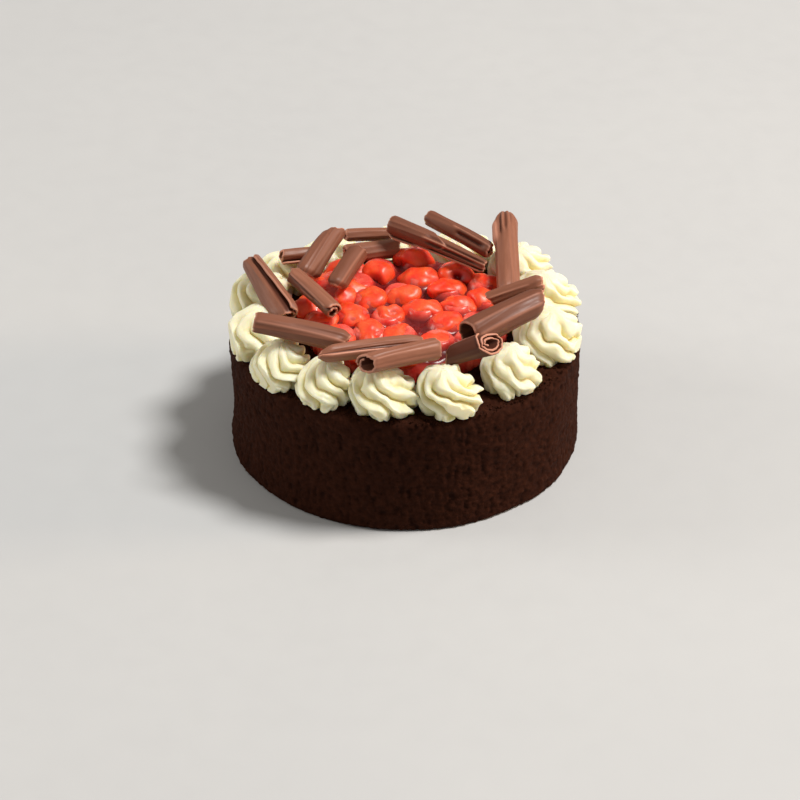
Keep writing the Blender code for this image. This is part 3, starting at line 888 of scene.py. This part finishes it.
def buildRoll(node, own, s):
    start, end = Vector(own["from"]), Vector(own["to"])
    axis = end - start
    length = axis.length
    turnTo = axis.to_track_quat("X", "Z").to_matrix()
    turns, seed = own["turns"], own["seed"]
    curled = arcLength(own, s)
    dice = random.Random(200 + seed)
    loose = [(dice.uniform(-10, 10), dice.uniform(0, 360)) for side in (0, 1)]
    cuts = own.get("cuts", loose)
    squash, squashAt = dice.uniform(*s["oval"]), dice.uniform(0, math.pi)
    telescope = [dice.uniform(-1.0, 1.2) for _ in range(2)]
    pinch = own.get("pinch", (0.0, 0.0))
    slow, quick = s["ragged"]
    slowSize, quickSize = s["raggedSizes"]
    stepAt, stepDepth, stepSlant = own.get("step", (2.0, 0.0, 0.0))
    bm = bmesh.new()
    across, around = s["cells"]
    bmesh.ops.create_grid(bm, x_segments=across, y_segments=around, size=0.5)
    shadeAndDepth = bm.verts.layers.float.new("shadeAndDepth")
    rim = bm.verts.layers.float.new("rim")
    sheetPlace = bm.verts.layers.float_vector.new("sheetPlace")
    inward = bm.verts.layers.float_vector.new("inward")
    for vert in bm.verts:
        # the curl, with flat sides and wrinkles
        share, wound = vert.co.x + 0.5, 0.5 - vert.co.y
        turn = turns * wound
        wide = lerp(*own["wide"], share)
        slide = math.radians(own.get("slide", 0.0)) * (share - 0.5)
        slide *= 1.0 - smoothStep(0.0, 0.6, wound)
        angle = math.radians(own["edge"]) + 2 * math.pi * turn + slide
        along = (share - 0.5) * length
        radius = 0.5 * wide - turnDrop(turn, s)
        radius *= facetShape(angle, along, seed, s) * (1.0 - squash * math.cos(2 * (angle - squashAt)))
        circle = (6 * math.cos(angle), 6 * math.sin(angle))
        radius += own["wrinkle"] * wave(*circle, 0.14 * along, 3.4, seed) - 0.1
        radius += s["fineWrinkle"] * own["wrinkle"] * wave(*circle, 0.10 * along, 1.3, seed + 0.3)
        # the outer edge stands off, then marks, the torn layer and the narrow ends
        standsOff = 0.7 + 0.3 * wave(along, 0, 0, 9, seed)
        radius += own["lip"] * (1.0 - smoothStep(0.0, 0.10, wound)) * standsOff
        marks = markDepth(own.get("marks", ()), angle, share) * (1.0 - smoothStep(0.85, 1.1, turn))
        tear = stepAt + stepSlant / length * math.cos(angle - 2.4)
        tear += 0.04 * wave(*circle, 0, 3.0, seed + 7)
        torn = stepDepth * smoothStep(tear - 0.012, tear + 0.012, share)
        radius -= marks + torn
        radius *= 1.0 - pinch[0] * (1.0 - smoothStep(0.0, 0.13, share)) ** 1.5
        radius *= 1.0 - pinch[1] * smoothStep(0.87, 1.0, share) ** 1.5
        radius -= s["endDip"] * (smoothStep(0.05, 0.0, share) + smoothStep(0.95, 1.0, share))
        radius = max(radius, s["narrowest"])
        # slanted and ragged ends
        arc = angle * 0.5 * wide
        for side, weight in ((0, 1.0 - smoothStep(0.0, 0.3, share)), (1, smoothStep(0.7, 1.0, share))):
            slant, longSide = cuts[side]
            shift = math.tan(math.radians(slant)) * radius * math.cos(angle - math.radians(longSide))
            shift += (slow * wave(arc, 0, 0, slowSize, seed + side)
                      + quick * wave(arc, 0, 0, quickSize, seed + 4 + side))
            shift += telescope[side] * wound - s["corner"] * clamp(1.0 - wound / 0.07) ** 2
            along += (1 if side else -1) * shift * weight
        bow = own["bow"] * 4.0 * share * (1.0 - share) - 0.5 * own["bow"]
        local = Vector((along, radius * math.cos(angle), radius * math.sin(angle) + bow))
        vert.co = (start + end) / 2 + turnTo @ local
        # what the material reads: painted shade in the inner turns, grooves and shaded rolls, pale
        # broken edges and ridges with a painted highlight, and the place on the flat sheet
        innerTurnShade = smoothStep(0.92, 1.04, turn)
        vert[shadeAndDepth] = clamp(own.get("dark", 0.0) + innerTurnShade + 0.45 * max(0.0, marks))
        fromEnd = min(share, 1.0 - share) * length
        paleRimAndHighlight = max(1.0 - smoothStep(0.0, s["paleEnd"], fromEnd),
                      1.0 - smoothStep(0.0, s["paleEdge"], wound * curled))
        # paler broken ends, outer edge and tear, partly a painted highlight, and a painted highlight on
        # ridges
        vert[rim] = max(paleRimAndHighlight, clamp(-1.1 * marks), 0.7 * bell(share - tear, 0.012) * (stepDepth > 0))
        vert[sheetPlace] = Vector((along, wound * curled, 11.0 * seed))
        # the sheet's thickness, less near its rims
        thick = min(s["sheet"], 0.6 * radius)
        fromRim = min(fromEnd, min(wound, 1.0 - wound) * curled)
        thin = 0.25 * thick * (1.0 - clamp(fromRim / s["rimWide"])) ** 2
        inwards = turnTo @ Vector((0.0, -math.cos(angle), -math.sin(angle)))
        vert.co += inwards * thin
        vert[inward] = inwards * (thick - 2.0 * thin)
    made = bmesh.ops.extrude_face_region(bm, geom=bm.faces[:], use_keep_orig=True)["geom"]
    for vert in (item for item in made if isinstance(item, bmesh.types.BMVert)):
        vert.co += vert[inward]
    bm.verts.layers.float_vector.remove(inward)
    bmesh.ops.recalc_face_normals(bm, faces=bm.faces)
    if bm.calc_volume(signed=True) < 0.0:
        bmesh.ops.reverse_faces(bm, faces=bm.faces[:])
    return finishPiece(bm, node.replace("chocolate_roll_", "chocolateRoll"), "chocolate", node)


for node, own in rollPieces.items():
    buildRoll(node, own, rolls)
print("rolls done")


# Crumbs that came off the sponge
crumbs = {
    "count": 620,
    "size": (0.25, 0.95),
    "band": (91.0, 98.6),   # from the cake's axis
    "brim": 96.0,           # from here on the sponge's top falls away
    "fall": 0.16,           # and how steeply
    "uneven": (0.65, 1.2),
    "raised": 0.25,         # how far a crumb's middle lies above the sponge, as a share of its size
}


def buildCrumbs(s):
    dice = random.Random(77)
    bm = bmesh.new()
    shadeAndDepth = bm.verts.layers.float.new("shadeAndDepth")
    height = boxOf("chocolate_cake")[1].z
    for index in range(s["count"]):
        size = lerp(*s["size"], dice.random() ** 2.2)
        angle = dice.gauss(-0.6, 0.9) if index % 3 else dice.uniform(-math.pi, math.pi)
        out = lerp(*s["band"], dice.random() ** 0.6)
        made = bmesh.ops.create_icosphere(bm, subdivisions=1, radius=size)["verts"]
        for vert in made:
            vert.co *= dice.uniform(*s["uneven"])
            vert[shadeAndDepth] = 0.25
        drop = max(0.0, out - s["brim"]) ** 2 * s["fall"]
        up = height - drop + s["raised"] * size
        place = Vector((out * math.cos(angle), out * math.sin(angle), up))
        bmesh.ops.translate(bm, vec=place, verts=made)
    return finishPiece(bm, "spongeCrumbs", "sponge")


buildCrumbs(crumbs)
print("crumbs done")


# The stage, camera and light
view = {
    "aim": (-3.0, 9.6, 14.4),
    "distance": 1728.0,
    "elevation": 33.8,
    "lens": 135.0,
}


def buildStage():
    bm = bmesh.new()
    bmesh.ops.create_grid(bm, x_segments=8, y_segments=8, size=6.0)
    mesh = bpy.data.meshes.new("floor")
    bm.to_mesh(mesh)
    bm.free()
    mesh.materials.append(makeFloor())
    floor = bpy.data.objects.new("floor", mesh)
    bpy.context.scene.collection.objects.link(floor)


def buildCamera(v):
    data = bpy.data.cameras.new("camera")
    data.lens = v["lens"]
    data.sensor_width = 36.0
    camera = bpy.data.objects.new("camera", data)
    rise = math.radians(v["elevation"])
    back = Vector((0.0, -math.cos(rise), math.sin(rise)))
    camera.location = (Vector(v["aim"]) + back * v["distance"]) * mm
    camera.rotation_euler = (0.5 * math.pi - rise, 0.0, 0.0)
    bpy.context.scene.collection.objects.link(camera)
    bpy.context.scene.camera = camera


# from is where a light stands, in metres; power in watts
lights = {
    "keyLight": {"from": (2.0, -0.05, 3.9), "size": 1.2, "power": 212.0, "colour": (1.0, 0.97, 0.93)},
    "rightLight": {"from": (2.6, 0.1, 0.8), "size": 0.8, "power": 36.0, "colour": (1.0, 0.76, 0.55)},
    "leftLight": {"from": (-2.6, 0.3, 1.1), "size": 1.2, "power": 27.0, "colour": (1.0, 0.94, 0.86)},
}


def buildLights():
    for name, own in lights.items():
        data = bpy.data.lights.new(name, "AREA")
        data.shape = "DISK"
        data.size = own["size"]
        data.energy = own["power"]
        data.color = own["colour"]
        lamp = bpy.data.objects.new(name, data)
        lamp.location = own["from"]
        lamp.rotation_euler = (-Vector(own["from"])).to_track_quat("-Z", "Y").to_euler()
        bpy.context.scene.collection.objects.link(lamp)
    world = bpy.data.worlds.new("studio")
    world.use_nodes = True
    background = world.node_tree.nodes["Background"]
    background.inputs["Color"].default_value = (1.0, 0.95, 0.89, 1.0)
    background.inputs["Strength"].default_value = 0.29
    bpy.context.scene.world = world


buildStage()
buildCamera(view)
buildLights()
bpy.context.scene.view_settings.view_transform = "Standard"
print("stage done")
